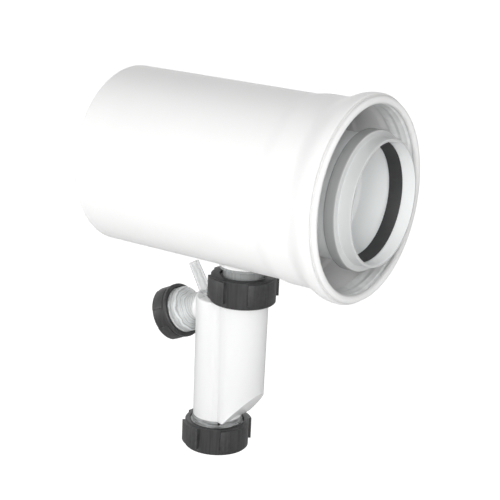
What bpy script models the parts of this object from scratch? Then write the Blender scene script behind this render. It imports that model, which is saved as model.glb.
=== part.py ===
"""Concentric condensate drain for an 80/125 mm flue run.

An outer steel pipe and an inner plastic pipe lie one inside the other along X. A drain spigot drops
from the inner pipe through the outer one into a clear twin-tube siphon trap, which has a slip nut at
its inlet, a cleaning cap below and an outlet branch with its own nut and a vent nipple.

The origin is where the flue axis (X) crosses the drain axis (Z). Sizes are in metres.
"""

import math

import bmesh
import bpy
from mathutils import Matrix, Vector

MM = 0.001
GAP = 0.3 * MM  # clearance between pieces that touch

# Flue pipes: nominal sizes and where they end along X
OUTER_R = 62.5 * MM
OUTER_WALL = 0.8 * MM
INNER_R = 40 * MM
INNER_WALL = 2 * MM
TAIL_X = -100.8 * MM
MOUTH_X = 96 * MM
SOCKET_PLAY = 0.25 * MM  # radial room for the next pipe in each socket

# Outer socket and its rolled bead, measured back from the mouth
OUTER_SOCKET_DEPTH = 44 * MM
SOCKET_STEP = 4 * MM
BEAD_HEIGHT = 7 * MM
BEAD_RISE = 19 * MM
BEAD_FLAT = 4 * MM
HEM_R = 1.7 * MM
BEAD_LIP_DROP = 3.4 * MM

# Inner socket: its bead, the collar in front of it and the tail's lead-in
COLLAR_OUT = 10 * MM
COLLAR_WALL = 1.75 * MM
INNER_BEAD_HEIGHT = 6.45 * MM
INNER_BEAD_LENGTH = 8.3 * MM
INNER_BEAD_FRONT = 0.8 * MM
INNER_BEAD_WALL = 1.85 * MM
INNER_SOCKET_DEPTH = 40 * MM
INNER_SOCKET_STEP = 3 * MM
LEAD_IN = 1.2 * MM
EDGE_ROUND = 1.2 * MM

# Lip seals of the two sockets
INNER_LIP_PRESS = 2.5 * MM
INNER_LIP_REACH = 8 * MM
OUTER_LIP_PRESS = 1.3 * MM
LIP_THICKNESS = 1.3 * MM
OUTER_SEAL_LENGTH = 13 * MM

# Centring rings between the pipes
SPACER_FRONT_X = 44 * MM
SPACER_REAR_X = -76 * MM
SPACER_WIDTH = 12 * MM
SPACER_WALL = 2 * MM
RIB_WIDTH = 3 * MM
RIB_LENGTH = 7.2 * MM
RIB_COUNT = 4

# Drain spigot, the boss that holds it and the outer pipe's neck round it
SPIGOT_STEP = 3 * MM
SPIGOT_WALL = 2.9 * MM
SPIGOT_ENTRY = 17.8 * MM
BOSS_WALL = 2.6 * MM
BOSS_CLEAR = 4.7 * MM
SEAT_DEPTH = 2.5 * MM
RING_GROOVE_DROP = 8 * MM
RING_GROOVE_WIDTH = 2.6 * MM
RING_GROOVE_DEPTH = 1.5 * MM
NECK_PLAY = 2.1 * MM
NECK_DROP = 1.0 * MM
GROMMET_FLANGE = 1.2 * MM
GROMMET_FLANGE_REACH = 1.5 * MM

# Large threaded pair: the trap's inlet and its cleaning port
THREAD_STEP = 1.3 * MM
NUT_WALL = 3.6 * MM
LUG_RISE = 2.1 * MM
NUT_HEIGHT = 19.5 * MM
NUT_END_WALL = 2.4 * MM
SLIP_RING_HEIGHT = 1.1 * MM
CONE_RING_HEIGHT = 6 * MM
CONE_RING_EDGE = 1 * MM
NUT_DROP = 6.7 * MM
THREAD_RISE = 2.6 * MM

# Small threaded pair: the outlet
OUTLET_THREAD_STEP = 1.5 * MM
OUTLET_NUT_WALL = 2 * MM
OUTLET_LUG_RISE = 1 * MM
OUTLET_NUT_HEIGHT = 13.5 * MM
OUTLET_HOLE_STEP = 0.7 * MM
OUTLET_SEAL_HEIGHT = 2 * MM
OUTLET_LUG_PHASE = math.radians(45)

# Lugs of all three nuts: how wide, how they stand at rest, and their distance from the nut's ends
LUG_COUNT = 4
LUG_ANGLE = math.radians(49.5)
LUG_PHASE = math.radians(-23.3)
LUG_NEAR = 0.8 * MM
LUG_FAR = 3.4 * MM
NUT_CHAMFER = 0.7 * MM
NUT_RIM_WALL = 2.9 * MM
LUG_STEPS = 3

# Trap: two joined tubes, the inlet one closed by a slope towards the cleaning port
LEG_R = 17.7 * MM
LEG_DRAFT = 0.3 * MM
LEG_WALL = 1.8 * MM
LEG_OFFSET = 0.3 * MM
LEG_TOP_PLAY = 0.6 * MM
PARTITION = 1.6 * MM
PARTITION_LENGTH = 70.7 * MM
SEAT_PLAY = 0.5 * MM
SLOPE_DROP = 65 * MM
SLOPE_TILT = math.radians(49.5)
LEG_LENGTH = 89.3 * MM
PORT_NECK = 3 * MM
CAP_GASKET_HEIGHT = 1.6 * MM

# Outlet branch: the nut's near face, the tilt, and the stub behind it
BRANCH_REACH = 15.05 * MM
BRANCH_TILT = math.radians(25)
BRANCH_TUBE_STEP = 8.2 * MM
BRANCH_TUBE_WALL = 1.9 * MM
BRANCH_CONE_START = 9.5 * MM
BRANCH_CONE_END = 5 * MM
BRANCH_ROOT = 30 * MM
BRANCH_BORE_ROOT = 24 * MM

# Vent nipple on the branch
VENT_R = 3.6 * MM
VENT_ROOT_R = 4.3 * MM
VENT_BORE_R = 2.2 * MM
VENT_BACK = 25.4 * MM
VENT_LENGTH = 31.1 * MM
VENT_TILT = math.radians(30.2)

# Facets round a full turn
PIPE_STEPS = 48
SOCKET_STEPS = 40
NUT_STEPS = 32
LEG_STEPS = 32
SMALL_STEPS = 16
EASE_STEPS = 5

# Places worked out from the sizes above
BEAD_R = OUTER_R + BEAD_HEIGHT
OUTER_LIP_R = OUTER_R - OUTER_LIP_PRESS
INNER_BEAD_R = INNER_R + INNER_BEAD_HEIGHT
INNER_LIP_R = INNER_R - INNER_LIP_PRESS
SPIGOT_R = LEG_R - SPIGOT_STEP
THREAD_R = LEG_R + THREAD_STEP
THREAD_BORE_R = THREAD_R + GAP
NUT_R = THREAD_BORE_R + NUT_WALL
LUG_R = NUT_R + LUG_RISE
LEG_SPACING = LEG_R + LEG_OFFSET
BRANCH_TUBE_R = LEG_R - BRANCH_TUBE_STEP
OUTLET_THREAD_R = LEG_R - OUTLET_THREAD_STEP
OUTLET_BORE_R = OUTLET_THREAD_R + GAP
OUTLET_NUT_R = OUTLET_BORE_R + OUTLET_NUT_WALL
OUTLET_LUG_R = OUTLET_NUT_R + OUTLET_LUG_RISE
OUTLET_HOLE_R = BRANCH_TUBE_R + OUTLET_HOLE_STEP
SPIGOT_BORE_R = SPIGOT_R - SPIGOT_WALL
SPIGOT_SEAT_R = SPIGOT_R + GAP
INNER_BORE_R = INNER_R - INNER_WALL
INNER_SOCKET_R = INNER_R + SOCKET_PLAY
OUTER_SOCKET_R = OUTER_R + SOCKET_PLAY + GAP
OUTER_BORE_R = OUTER_R - OUTER_WALL
COLLAR_X = MOUTH_X + COLLAR_OUT
INNER_BEAD_END = MOUTH_X + INNER_BEAD_FRONT
INNER_BEAD_BACK = INNER_BEAD_END - INNER_BEAD_LENGTH
NUT_TOP_Z = -OUTER_R - NUT_DROP
NUT_BOTTOM_Z = NUT_TOP_Z - NUT_HEIGHT
SPIGOT_END_Z = NUT_TOP_Z - SPIGOT_ENTRY
SLIP_RING_Z = NUT_TOP_Z - NUT_END_WALL - GAP
CONE_RING_Z = SLIP_RING_Z - SLIP_RING_HEIGHT - GAP
INLET_RIM_Z = CONE_RING_Z - CONE_RING_EDGE - GAP
LEG_TOP_Z = NUT_BOTTOM_Z - LEG_TOP_PLAY
OUTLET_LEG_X = -LEG_SPACING
PARTITION_END_Z = LEG_TOP_Z - PARTITION_LENGTH
SLOPE_EDGE_Z = LEG_TOP_Z - SLOPE_DROP
NECK_TOP_Z = LEG_TOP_Z - LEG_LENGTH
CAP_TOP_Z = NECK_TOP_Z - PORT_NECK
CAP_BOTTOM_Z = CAP_TOP_Z - NUT_HEIGHT
BRANCH_FACE_X = OUTLET_LEG_X - LEG_R - BRANCH_REACH
BRANCH_FACE_Z = LEG_TOP_Z - LEG_R
PORT_RIM_Z = CAP_BOTTOM_Z + NUT_END_WALL + CAP_GASKET_HEIGHT + 2 * GAP
OUTLET_STUB_END = OUTLET_NUT_HEIGHT - NUT_END_WALL - SLIP_RING_HEIGHT - OUTLET_SEAL_HEIGHT - 3 * GAP

COLOURS = {
    "painted steel": ((0.93, 0.93, 0.92), 0.35, 0.0),
    "grey plastic": ((0.72, 0.73, 0.73), 0.4, 0.0),
    "clear plastic": ((0.86, 0.88, 0.88), 0.15, 0.0),
    "black rubber": ((0.05, 0.05, 0.052), 0.6, 0.0),
    "pale rubber": ((0.66, 0.67, 0.67), 0.55, 0.0),
    "black plastic": ((0.045, 0.046, 0.048), 0.45, 0.0),
    "white plastic": ((0.85, 0.85, 0.84), 0.4, 0.0),
}


def clear_scene():
    for obj in list(bpy.data.objects):
        bpy.data.objects.remove(obj, do_unlink=True)


def finish(name, colour):
    """A material of this object's own, from the named colour."""
    rgb, roughness, metallic = COLOURS[colour]
    material = bpy.data.materials.new(name)
    material.use_nodes = True
    shader = material.node_tree.nodes["Principled BSDF"]
    shader.inputs["Base Color"].default_value = (*rgb, 1)
    shader.inputs["Roughness"].default_value = roughness
    shader.inputs["Metallic"].default_value = metallic
    material.diffuse_color = (*rgb, 1)
    return material


def add_object(name, bm, parent=None, colour=None, place=(0, 0, 0), turn=(0, 0, 0)):
    """An object from a bmesh. Without a colour it is a cutter or a form, kept out of a render."""
    bmesh.ops.remove_doubles(bm, verts=bm.verts, dist=1e-7)
    bmesh.ops.recalc_face_normals(bm, faces=bm.faces)
    mesh = bpy.data.meshes.new(name)
    bm.to_mesh(mesh)
    bm.free()
    obj = bpy.data.objects.new(name, mesh)
    bpy.context.collection.objects.link(obj)
    obj.location = place
    obj.rotation_euler = turn
    obj.parent = parent
    if colour:
        mesh.materials.append(finish(name, colour))
        mesh.shade_smooth()
        mesh.set_sharp_from_angle(angle=math.radians(30))
    else:
        obj.hide_render = True
        obj.display_type = "WIRE"
    return obj


def add_empty(name, place=(0, 0, 0), turn=(0, 0, 0), parent=None):
    empty = bpy.data.objects.new(name, None)
    bpy.context.collection.objects.link(empty)
    empty.location = place
    empty.rotation_euler = turn
    empty.parent = parent
    return empty


def combine(obj, operation, tool):
    modifier = obj.modifiers.new(f"{operation.lower()} {tool.name}", "BOOLEAN")
    modifier.operation = operation
    modifier.solver = "EXACT"
    modifier.object = tool


def lathe(profile, steps, angle=2 * math.pi):
    """A bmesh turned round Z from a closed outline of (radius, height) points."""
    bm = bmesh.new()
    verts = [bm.verts.new((r, 0, z)) for r, z in profile]
    edges = [bm.edges.new((a, b)) for a, b in zip(verts, verts[1:] + verts[:1])]
    whole = angle >= 2 * math.pi
    if not whole:
        bm.faces.new(verts)
    bmesh.ops.spin(
        bm, geom=verts + edges, cent=(0, 0, 0), axis=(0, 0, 1),
        angle=angle, steps=steps, use_merge=whole,
    )
    return bm


def arc(r, z, radius, start, end, steps):
    """Points on a circle about (r, z); angles in degrees from +r towards +z."""
    angles = [math.radians(start + (end - start) * i / steps) for i in range(steps + 1)]
    return [(r + radius * math.cos(a), z + radius * math.sin(a)) for a in angles]


def ease(start, end, steps):
    """Points of an S-curve between two (radius, height) points, level at both ends."""
    points = []
    for i in range(steps + 1):
        share = i / steps
        blend = (1 - math.cos(math.pi * share)) / 2
        points.append((start[0] + (end[0] - start[0]) * blend, start[1] + (end[1] - start[1]) * share))
    return points


def ring(inner, outer, low, high, steps):
    return lathe([(inner, high), (outer, high), (outer, low), (inner, low)], steps)


def rod(radius, low, high, steps):
    return lathe([(0, high), (radius, high), (radius, low), (0, low)], steps)


def block(size, centre):
    bm = bmesh.new()
    place = Matrix.Translation(centre) @ Matrix.Diagonal((*size, 1))
    bmesh.ops.create_cube(bm, size=1, matrix=place)
    return bm


ALONG_X = (0, math.pi / 2, 0)


def build_outer_pipe(flue):
    """Sheet steel, white: plain tail, expanded socket, rolled bead with a hemmed lip, neck below."""
    socket_out = OUTER_SOCKET_R + OUTER_WALL
    step_x = MOUTH_X - OUTER_SOCKET_DEPTH
    bead_top = MOUTH_X - BEAD_LIP_DROP
    bead_foot = bead_top - BEAD_FLAT - BEAD_RISE
    hem_r = OUTER_SOCKET_R + HEM_R - OUTER_WALL / 2
    outside = [(OUTER_R, TAIL_X), (OUTER_R, step_x - SOCKET_STEP), (socket_out, step_x)]
    outside += ease((socket_out, bead_foot), (BEAD_R, bead_top - BEAD_FLAT), EASE_STEPS)
    outside += [(BEAD_R, bead_top)]
    outside += arc(BEAD_R - EDGE_ROUND, bead_top, EDGE_ROUND, 30, 90, 2)
    outside += arc(hem_r, MOUTH_X - HEM_R, HEM_R, 60, 200, 5)
    inside = ease((OUTER_SOCKET_R, bead_foot), (BEAD_R - OUTER_WALL, bead_top - BEAD_FLAT), EASE_STEPS)
    inside += [(BEAD_R - OUTER_WALL, bead_top - OUTER_WALL / 2)]
    inside += [(hem_r, bead_top - OUTER_WALL / 2)]
    tail = [(OUTER_BORE_R, TAIL_X), (OUTER_BORE_R, step_x - SOCKET_STEP), (OUTER_SOCKET_R, step_x)]
    wall = lathe(outside + (tail + inside)[::-1], PIPE_STEPS)
    pipe = add_object("outer_pipe", wall, flue, "painted steel", turn=ALONG_X)

    bore = SPIGOT_R + NECK_PLAY
    low = -OUTER_R - NECK_DROP
    root = -math.sqrt(OUTER_BORE_R ** 2 - (bore + OUTER_WALL) ** 2) + OUTER_WALL
    neck = add_object("neck_form", rod(bore + OUTER_WALL, low, root, NUT_STEPS), flue)
    hole = add_object("neck_bore", rod(bore, low - GAP, -INNER_R - INNER_WALL, NUT_STEPS), flue)
    gap_form = rod(OUTER_BORE_R, TAIL_X, step_x - SOCKET_STEP, PIPE_STEPS)
    clear = add_object("air_gap", gap_form, flue, turn=ALONG_X)
    combine(neck, "DIFFERENCE", clear)
    combine(pipe, "UNION", neck)
    combine(pipe, "DIFFERENCE", hole)


def build_outer_seal(flue):
    """Pale lip seal in the bead's groove: a foot against the steel and two lips that lean back."""
    front = MOUTH_X - BEAD_LIP_DROP - OUTER_WALL - GAP
    foot_r = BEAD_R - OUTER_WALL - GAP
    back = front - BEAD_FLAT
    mid = back - LIP_THICKNESS
    profile = [
        (foot_r, front),
        (foot_r, back),
        (foot_r - LIP_THICKNESS, mid),
        (OUTER_SOCKET_R + LIP_THICKNESS, mid),
        (OUTER_LIP_R + LIP_THICKNESS, front - OUTER_SEAL_LENGTH),
        (OUTER_LIP_R, front - OUTER_SEAL_LENGTH),
        (OUTER_SOCKET_R + GAP, front - OUTER_SEAL_LENGTH / 2),
        (OUTER_SOCKET_R - LIP_THICKNESS / 2, front - LIP_THICKNESS),
        (OUTER_SOCKET_R + HEM_R, front),
    ]
    add_object("outer_seal", lathe(profile, SOCKET_STEPS), flue, "pale rubber", turn=ALONG_X)


def build_inner_pipe(flue):
    """Grey plastic pipe: tail, socket with its bead and collar, and the drain boss underneath."""
    socket_out = INNER_SOCKET_R + COLLAR_WALL
    step_x = COLLAR_X - INNER_SOCKET_DEPTH
    back, front = INNER_BEAD_BACK, INNER_BEAD_END
    corner = INNER_BEAD_R - EDGE_ROUND
    step_end = step_x - INNER_SOCKET_STEP
    outside = [(INNER_R - LEAD_IN, TAIL_X), (INNER_R, TAIL_X + 2 * LEAD_IN), (INNER_R, step_end)]
    outside += [(socket_out, step_x), (socket_out, back)]
    outside += arc(corner, back + EDGE_ROUND, EDGE_ROUND, -90, 0, 2)
    outside += arc(corner, front - EDGE_ROUND, EDGE_ROUND, 0, 90, 2)
    outside += [(socket_out, front), (socket_out, COLLAR_X - EDGE_ROUND / 2)]
    outside += [(socket_out - EDGE_ROUND / 2, COLLAR_X)]
    groove_r = INNER_BEAD_R - INNER_BEAD_WALL
    wall = INNER_BEAD_WALL / 2
    inside = [(INNER_BORE_R, TAIL_X), (INNER_BORE_R, step_end), (INNER_SOCKET_R, step_x)]
    inside += [(INNER_SOCKET_R, back + wall), (groove_r, back + wall), (groove_r, front - wall)]
    inside += [(INNER_SOCKET_R, front - wall), (INNER_SOCKET_R, COLLAR_X)]
    tube = lathe(outside + inside[::-1], SOCKET_STEPS)
    pipe = add_object("inner_pipe", tube, flue, "grey plastic", turn=ALONG_X)

    boss_r = SPIGOT_SEAT_R + BOSS_WALL
    bottom = -OUTER_BORE_R + BOSS_CLEAR
    top = -math.sqrt(INNER_BORE_R ** 2 - boss_r ** 2)
    seat_z = -INNER_R - SEAT_DEPTH
    boss = add_object("boss_form", rod(boss_r, bottom, top + INNER_WALL, NUT_STEPS), flue)
    bore_form = rod(INNER_BORE_R, TAIL_X, step_end, SOCKET_STEPS)
    bore = add_object("flue_bore", bore_form, flue, turn=ALONG_X)
    seat = add_object("boss_seat", rod(SPIGOT_SEAT_R, bottom - GAP, seat_z, NUT_STEPS), flue)
    hole = add_object("drain_hole", rod(SPIGOT_BORE_R, bottom - GAP, -INNER_BORE_R / 2, NUT_STEPS), flue)
    combine(boss, "DIFFERENCE", bore)
    combine(pipe, "UNION", boss)
    combine(pipe, "DIFFERENCE", seat)
    combine(pipe, "DIFFERENCE", hole)


def build_inner_seal(flue):
    """Black lip seal: a foot in the bead's groove and a cone that leans back into the socket."""
    wall = INNER_BEAD_WALL / 2
    foot_r = INNER_BEAD_R - INNER_BEAD_WALL - GAP
    back = INNER_BEAD_BACK + wall + GAP
    front = INNER_BEAD_END - wall - GAP
    face_r = INNER_SOCKET_R - GAP
    profile = [
        (foot_r, back),
        (INNER_SOCKET_R + LIP_THICKNESS, back),
        (INNER_SOCKET_R + LIP_THICKNESS, front - 2 * LIP_THICKNESS),
        (INNER_LIP_R + LIP_THICKNESS, front + GAP - INNER_LIP_REACH),
        (INNER_LIP_R, front + GAP - INNER_LIP_REACH),
        (face_r - GAP, front + LIP_THICKNESS),
        (face_r, front + LIP_THICKNESS),
        (face_r, front),
        (foot_r, front),
    ]
    add_object("inner_seal", lathe(profile, SOCKET_STEPS), flue, "black rubber", turn=ALONG_X)


def build_spacer(name, x, flue):
    """Plastic ring on the inner pipe with ribs out to the steel, clear of the drain below."""
    low, high = x - SPACER_WIDTH / 2, x + SPACER_WIDTH / 2
    inner = INNER_R + GAP
    outer = inner + SPACER_WALL
    band = ring(inner, outer, low, high, NUT_STEPS)
    spacer = add_object(name, band, flue, "white plastic", turn=ALONG_X)
    reach = OUTER_BORE_R - GAP
    middle = (reach + inner + SPACER_WALL / 2) / 2
    length = reach - inner - SPACER_WALL / 2
    ribs = bmesh.new()
    for i in range(RIB_COUNT):
        angle = 2 * math.pi * (i + 0.5) / RIB_COUNT
        turn = Matrix.Rotation(angle, 4, "Z") @ Matrix.Translation((middle, 0, x))
        size = Matrix.Diagonal((length, RIB_WIDTH, RIB_LENGTH, 1))
        bmesh.ops.create_cube(ribs, size=1, matrix=turn @ size)
    cutter = add_object(f"{name}_ribs", ribs, flue, turn=ALONG_X)
    combine(spacer, "UNION", cutter)


def build_spigot(flue):
    """Grey tube from the boss into the trap's inlet, with a groove for its O-ring."""
    top = -INNER_R - SEAT_DEPTH - GAP
    groove = top - RING_GROOVE_DROP
    floor = SPIGOT_R - RING_GROOVE_DEPTH
    profile = [
        (SPIGOT_BORE_R, top),
        (SPIGOT_R - LEAD_IN / 2, top),
        (SPIGOT_R, top - LEAD_IN),
        (SPIGOT_R, groove),
        (floor, groove),
        (floor, groove - RING_GROOVE_WIDTH),
        (SPIGOT_R, groove - RING_GROOVE_WIDTH),
        (SPIGOT_R, SPIGOT_END_Z + LEAD_IN),
        (SPIGOT_R - LEAD_IN / 2, SPIGOT_END_Z),
        (SPIGOT_BORE_R, SPIGOT_END_Z),
    ]
    add_object("drain_spigot", lathe(profile, NUT_STEPS), flue, "grey plastic")

    o_ring = ring(floor + GAP, SPIGOT_R, groove - RING_GROOVE_WIDTH + GAP, groove - GAP, NUT_STEPS)
    add_object("spigot_o_ring", o_ring, flue, "black rubber")

    flange_top = -OUTER_R - NECK_DROP - GAP
    bore = SPIGOT_R + GAP
    sleeve_r = SPIGOT_R + NECK_PLAY - GAP
    profile = [
        (bore, flange_top + NECK_DROP + OUTER_WALL),
        (sleeve_r, flange_top + NECK_DROP + OUTER_WALL),
        (sleeve_r, flange_top),
        (sleeve_r + GROMMET_FLANGE_REACH, flange_top),
        (sleeve_r + GROMMET_FLANGE_REACH, flange_top - GROMMET_FLANGE),
        (bore, flange_top - GROMMET_FLANGE),
    ]
    add_object("neck_grommet", lathe(profile, NUT_STEPS), flue, "pale rubber")


def add_nut(name, parent, height, radius, lug_r, bore, hole, lug_low, phase):
    """A lugged nut whose local z runs from its open end (0) to its end wall (height).

    A hole radius of 0 closes the end wall, which makes it a cap. The lugs start at lug_low.
    """
    wall = height - NUT_END_WALL
    chamfer = NUT_CHAMFER
    rim_r = max(radius, bore + NUT_RIM_WALL)
    outline = [(bore + chamfer / 2, 0), (rim_r - chamfer, 0), (rim_r, chamfer)]
    if rim_r > radius:
        outline += [(rim_r, lug_low - chamfer), (radius, lug_low)]
    outline += [(radius, height - chamfer), (radius - chamfer, height), (hole, height)]
    outline += [(hole, wall), (bore, wall), (bore, chamfer / 2)]
    low = lug_low
    high = lug_low + height - LUG_NEAR - LUG_FAR
    lugs = bmesh.new()
    for i in range(LUG_COUNT):
        shape = [(radius - chamfer, low), (lug_r - chamfer / 2, low), (lug_r, low + chamfer)]
        shape += [(lug_r, high - chamfer), (lug_r - chamfer / 2, high), (radius - chamfer, high)]
        sector = lathe(shape, LUG_STEPS, LUG_ANGLE)
        turn = Matrix.Rotation(phase - LUG_ANGLE / 2 + 2 * math.pi * i / LUG_COUNT, 3, "Z")
        bmesh.ops.rotate(sector, verts=sector.verts, cent=(0, 0, 0), matrix=turn)
        close_sector(sector)
        part = bpy.data.meshes.new("lug")
        sector.to_mesh(part)
        sector.free()
        lugs.from_mesh(part)
        bpy.data.meshes.remove(part)
    nut = add_object(name, lathe(outline, NUT_STEPS), parent, "black plastic")
    form = add_object(f"{name}_lugs", lugs, parent)
    combine(nut, "UNION", form)


def close_sector(bm):
    """Caps the open end that a part turn leaves."""
    open_edges = [edge for edge in bm.edges if len(edge.link_faces) == 1]
    bmesh.ops.holes_fill(bm, edges=open_edges)


def build_inlet(trap):
    """Slip nut, slip ring and cone ring that clamp the trap to the spigot."""
    pivot = add_empty("inlet_axis", (0, 0, NUT_BOTTOM_Z), parent=trap)
    radii = (NUT_R, LUG_R, THREAD_BORE_R, SPIGOT_SEAT_R)
    add_nut("inlet_nut", pivot, NUT_HEIGHT, *radii, LUG_FAR, LUG_PHASE)
    slip = ring(SPIGOT_SEAT_R, THREAD_R, SLIP_RING_Z - SLIP_RING_HEIGHT, SLIP_RING_Z, NUT_STEPS)
    add_object("inlet_slip_ring", slip, trap, "white plastic")
    tip = CONE_RING_Z - CONE_RING_HEIGHT
    cone = [
        (SPIGOT_SEAT_R, CONE_RING_Z),
        (THREAD_R - LEG_WALL / 2, CONE_RING_Z),
        (THREAD_R - LEG_WALL / 2, CONE_RING_Z - CONE_RING_EDGE),
        (SPIGOT_SEAT_R + CONE_RING_EDGE, tip),
        (SPIGOT_SEAT_R, tip),
    ]
    add_object("inlet_cone_ring", lathe(cone, NUT_STEPS), trap, "black rubber")


def inlet_tube():
    """Inlet tube, solid: the threaded mouth with its conical seat, then the leg down past the slope."""
    shoulder = NUT_BOTTOM_Z + THREAD_RISE
    seat_r = THREAD_R - LEG_WALL / 2
    tip = CONE_RING_Z - CONE_RING_HEIGHT - GAP
    return lathe([
        (0, tip),
        (SPIGOT_SEAT_R + CONE_RING_EDGE + GAP, tip),
        (seat_r + GAP, INLET_RIM_Z),
        (THREAD_R, INLET_RIM_Z),
        (THREAD_R, shoulder),
        (LEG_R + LEG_DRAFT, shoulder - LEG_WALL / 2),
        (LEG_R - LEG_DRAFT, NECK_TOP_Z + EDGE_ROUND),
        (LEG_R - LEG_DRAFT - EDGE_ROUND, NECK_TOP_Z),
        (0, NECK_TOP_Z),
    ], LEG_STEPS)


def outlet_tube():
    """Outlet tube, solid: the leg from below the inlet nut to the cleaning port's thread."""
    return lathe([
        (0, LEG_TOP_Z),
        (LEG_R + LEG_DRAFT - EDGE_ROUND, LEG_TOP_Z),
        (LEG_R + LEG_DRAFT, LEG_TOP_Z - EDGE_ROUND),
        (LEG_R - LEG_DRAFT, NECK_TOP_Z),
        (THREAD_R, NECK_TOP_Z - EDGE_ROUND),
        (THREAD_R, PORT_RIM_Z + NUT_CHAMFER),
        (THREAD_R - NUT_CHAMFER, PORT_RIM_Z),
        (0, PORT_RIM_Z),
    ], LEG_STEPS)


def slope_cutter(drop):
    """A block below the trap's sloping floor, lowered by drop across the slope."""
    reach = 4 * LEG_R
    edge = Vector((LEG_R, 0, SLOPE_EDGE_Z))
    turn = Matrix.Translation(edge) @ Matrix.Rotation(-SLOPE_TILT, 4, "Y")
    bm = bmesh.new()
    size = Matrix.Diagonal((2 * reach, 2 * reach, reach, 1))
    bmesh.ops.create_cube(bm, size=1, matrix=turn @ Matrix.Translation((0, 0, -reach / 2 - drop)) @ size)
    return bm


def build_trap(trap, branch):
    """Clear moulding: two legs side by side with one wall between them, branch, vent and port."""
    body = add_object("trap_body", inlet_tube(), trap, "clear plastic")
    slope = add_object("slope_form", slope_cutter(0), trap)
    outlet = add_object("outlet_leg_form", outlet_tube(), trap, place=(OUTLET_LEG_X, 0, 0))
    stub = add_object("branch_form", lathe([
        (0, -BRANCH_ROOT),
        (BRANCH_TUBE_R, -BRANCH_ROOT),
        (BRANCH_TUBE_R, -BRANCH_CONE_START),
        (OUTLET_THREAD_R, -BRANCH_CONE_END),
        (OUTLET_THREAD_R, OUTLET_STUB_END),
        (0, OUTLET_STUB_END),
    ], LEG_STEPS), branch)
    vent_turn = (0, math.pi / 2 + BRANCH_TILT - VENT_TILT, 0)
    vent_outline = [(0, 0), (VENT_ROOT_R, 0), (VENT_R, VENT_LENGTH), (0, VENT_LENGTH)]
    vent = add_object(
        "vent_form", lathe(vent_outline, SMALL_STEPS), branch, place=(0, 0, -VENT_BACK), turn=vent_turn)
    nut_room = add_object("nut_room", rod(LUG_R + LEG_TOP_PLAY, LEG_TOP_Z, INLET_RIM_Z, NUT_STEPS), trap)
    combine(stub, "DIFFERENCE", nut_room)
    combine(body, "DIFFERENCE", slope)
    combine(body, "UNION", outlet)
    combine(body, "UNION", stub)
    combine(body, "UNION", vent)
    combine(body, "DIFFERENCE", build_water(trap, branch, vent_turn))


def build_water(trap, branch, vent_turn):
    """The space inside the trap: socket, both legs less the wall between them, port, branch and vent."""
    bore = LEG_R - LEG_WALL
    seat_floor = SPIGOT_END_Z - SEAT_PLAY
    ceiling = LEG_TOP_Z - LEG_WALL
    tip = CONE_RING_Z - CONE_RING_HEIGHT - GAP
    low = NECK_TOP_Z - LEG_R
    water = add_object("water_form", lathe([
        (0, tip + GAP),
        (SPIGOT_SEAT_R, tip + GAP),
        (SPIGOT_SEAT_R, seat_floor),
        (SPIGOT_BORE_R, seat_floor),
        (SPIGOT_BORE_R, ceiling + LEG_WALL / 2),
        (bore, ceiling),
        (bore, low),
        (0, low),
    ], LEG_STEPS), trap)
    floor = add_object("floor_form", slope_cutter(-LEG_WALL), trap)
    outlet = add_object(
        "outlet_water_form",
        rod(bore, PORT_RIM_Z - GAP, ceiling, LEG_STEPS), trap, place=(OUTLET_LEG_X, 0, 0),
    )
    inlet_side = (OUTLET_LEG_X + PARTITION) / 2
    cover_size = (4 * LEG_R, 4 * LEG_R, seat_floor - ceiling)
    cover_centre = (inlet_side - 2 * LEG_R, 0, (seat_floor + ceiling) / 2)
    cover = add_object("cover_form", block(cover_size, cover_centre), trap)
    height = seat_floor - PARTITION_END_Z
    wall = block((PARTITION, 3 * LEG_R, height), (OUTLET_LEG_X / 2, 0, PARTITION_END_Z + height / 2))
    partition = add_object("partition_form", wall, trap)
    tube_bore = BRANCH_TUBE_R - BRANCH_TUBE_WALL
    mouth_bore = OUTLET_THREAD_R - BRANCH_TUBE_WALL
    run = add_object("branch_bore", lathe([
        (0, -BRANCH_BORE_ROOT),
        (tube_bore, -BRANCH_BORE_ROOT),
        (tube_bore, -BRANCH_CONE_END),
        (mouth_bore, -BRANCH_CONE_END / 2),
        (mouth_bore, OUTLET_STUB_END + GAP),
        (0, OUTLET_STUB_END + GAP),
    ], LEG_STEPS), branch)
    vent_form = rod(VENT_BORE_R, 0, VENT_LENGTH + GAP, SMALL_STEPS)
    vent = add_object("vent_bore", vent_form, branch, place=(0, 0, -VENT_BACK), turn=vent_turn)
    combine(water, "DIFFERENCE", floor)
    combine(water, "DIFFERENCE", cover)
    combine(water, "UNION", outlet)
    combine(water, "DIFFERENCE", partition)
    combine(water, "UNION", run)
    combine(water, "UNION", vent)
    return water


def build_port(trap):
    """Cleaning cap with its flat gasket, below the outlet leg."""
    pivot = add_empty("port_axis", (OUTLET_LEG_X, 0, CAP_TOP_Z), (math.pi, 0, 0), trap)
    radii = (NUT_R, LUG_R, THREAD_BORE_R, 0)
    add_nut("cleaning_cap", pivot, NUT_HEIGHT, *radii, LUG_NEAR, -LUG_PHASE)
    low = CAP_BOTTOM_Z + NUT_END_WALL + GAP
    gasket = ring(LEG_R - 2 * LEG_WALL, THREAD_R, low, low + CAP_GASKET_HEIGHT, NUT_STEPS)
    add_object("cap_gasket", gasket, trap, "black rubber", place=(OUTLET_LEG_X, 0, 0))


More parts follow.
